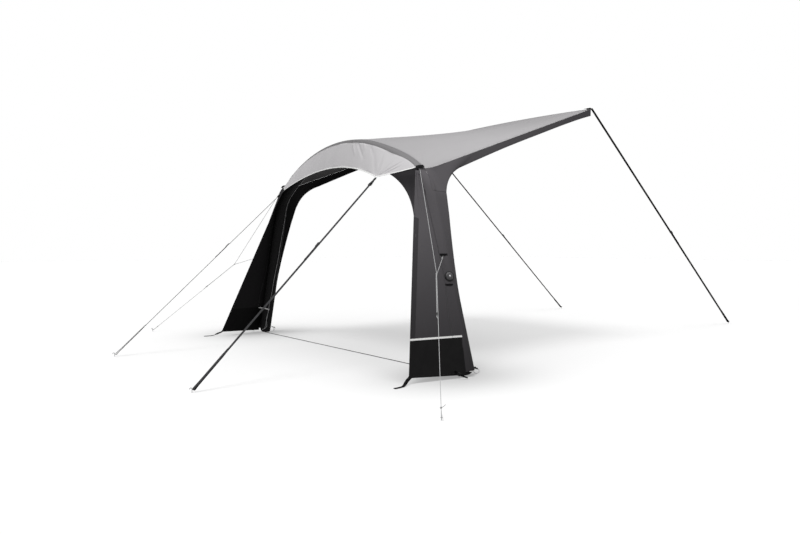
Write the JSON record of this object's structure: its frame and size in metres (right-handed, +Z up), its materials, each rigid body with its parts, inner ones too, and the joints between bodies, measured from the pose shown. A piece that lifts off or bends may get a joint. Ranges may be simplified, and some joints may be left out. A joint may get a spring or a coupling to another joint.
{
  "type": "caravan awning",
  "caption": "Single-arch inflatable sun canopy: roof sloping up to a rail edge, scalloped guyed visor, tapered legs with mud skirts, straps, guys and pegs.",
  "frame": {"origin": "on the ground, at the middle of the footprint's box", "axes": "+Z up; +Y from the open front towards the rail edge and rear pegs; +X across the span towards the leg with the valve"},
  "size_m": [4.9404, 6.7938, 2.3501],
  "materials": {
    "band_cloth": "mid grey coated polyester, fine plain weave, matt",
    "beam_sleeve": "dark woven sleeve round the inflated tube",
    "black_plastic": "moulded black nylon",
    "black_webbing": "black woven webbing",
    "grey_webbing": "dark grey woven webbing",
    "guy_cord": "light grey braided cord",
    "peg_steel": "zinc-plated steel",
    "roof_cloth": "light grey coated polyester, fine plain weave, matt",
    "skirt_cloth": "black PVC-coated cloth with a faint sheen",
    "valve_plastic": "moulded black plastic with a pale cap centre",
    "visor_cloth": "light grey coated polyester, fine plain weave, matt",
    "wall_cloth": "dark warm grey coated polyester, fine plain weave, matt",
    "white_tape": "white woven binding"
  },
  "bodies": {
    "root": {"air_beam": "beam_sleeve", "arch_band": "band_cloth", "front_visor": "visor_cloth", "ground_strap": "black_webbing", "inflation_valve": "valve_plastic", "left_beam_peg_tab": "black_webbing", "left_foot_ring": "peg_steel", "left_front_adjuster": "black_plastic", "left_front_buckle": "black_plastic", "left_front_gusset": "wall_cloth", "left_front_peg": "peg_steel", "left_front_peg_tab": "black_webbing", "left_front_strap": "grey_webbing", "left_guy_loop": "black_webbing", "left_guy_runner": "black_plastic", "left_leg_front_panel": "wall_cloth", "left_leg_rear_panel": "wall_cloth", "left_mud_skirt": "skirt_cloth", "left_rear_adjuster": "black_plastic", "left_rear_corner_tab": "black_webbing", "left_rear_peg": "peg_steel", "left_rear_peg_tab": "black_webbing", "left_rear_strap": "black_webbing", "left_shoulder_patch": "black_webbing", "left_side_flap": "wall_cloth", "left_skirt_tape": "white_tape", "left_storm_guy": "guy_cord", "left_storm_guy_branch": "guy_cord", "left_storm_peg": "peg_steel", "rear_beading": "black_webbing", "right_beam_peg_tab": "black_webbing", "right_foot_ring": "peg_steel", "right_front_adjuster": "black_plastic", "right_front_buckle": "black_plastic", "right_front_gusset": "wall_cloth", "right_front_peg": "peg_steel", "right_front_peg_tab": "black_webbing", "right_front_strap": "grey_webbing", "right_guy_loop": "black_webbing", "right_guy_runner": "black_plastic", "right_leg_front_panel": "wall_cloth", "right_leg_rear_panel": "wall_cloth", "right_mud_skirt": "skirt_cloth", "right_rear_adjuster": "black_plastic", "right_rear_corner_tab": "black_webbing", "right_rear_peg": "peg_steel", "right_rear_peg_tab": "black_webbing", "right_rear_strap": "black_webbing", "right_shoulder_patch": "black_webbing", "right_side_flap": "wall_cloth", "right_skirt_tape": "white_tape", "right_storm_guy": "guy_cord", "right_storm_guy_branch": "guy_cord", "right_storm_peg": "peg_steel", "roof_panel": "roof_cloth", "valve_tab": "black_webbing", "visor_hem": "white_tape"}
  },
  "joints": []
}
